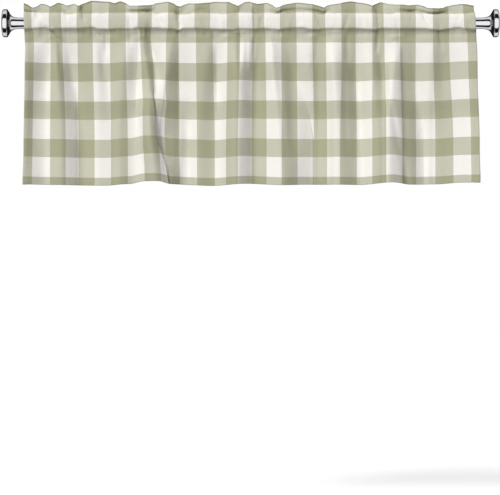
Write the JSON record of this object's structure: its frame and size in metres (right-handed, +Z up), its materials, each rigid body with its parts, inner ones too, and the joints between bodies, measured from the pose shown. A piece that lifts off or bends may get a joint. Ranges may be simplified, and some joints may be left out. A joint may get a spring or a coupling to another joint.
{
  "type": "window valance and curtain rod",
  "caption": "Gathered rod-pocket window valance in checked cloth with a ruffled header, hanging on a round curtain rod with trumpet finials.",
  "frame": {"origin": "middle of the rod, on its axis", "axes": "+X along the rod, +Z up, and the front of the cloth faces -Y, into the room"},
  "size_m": [1.2624, 0.071, 0.469],
  "materials": {
    "cloth": "matte plain-weave cotton blend, sage green and off-white check",
    "rod_metal": "polished chrome plating",
    "finial_metal": "polished chrome plating"
  },
  "bodies": {
    "root": {"valance": "cloth", "rod": "rod_metal", "finial_left": "finial_metal", "finial_right": "finial_metal"}
  },
  "joints": []
}
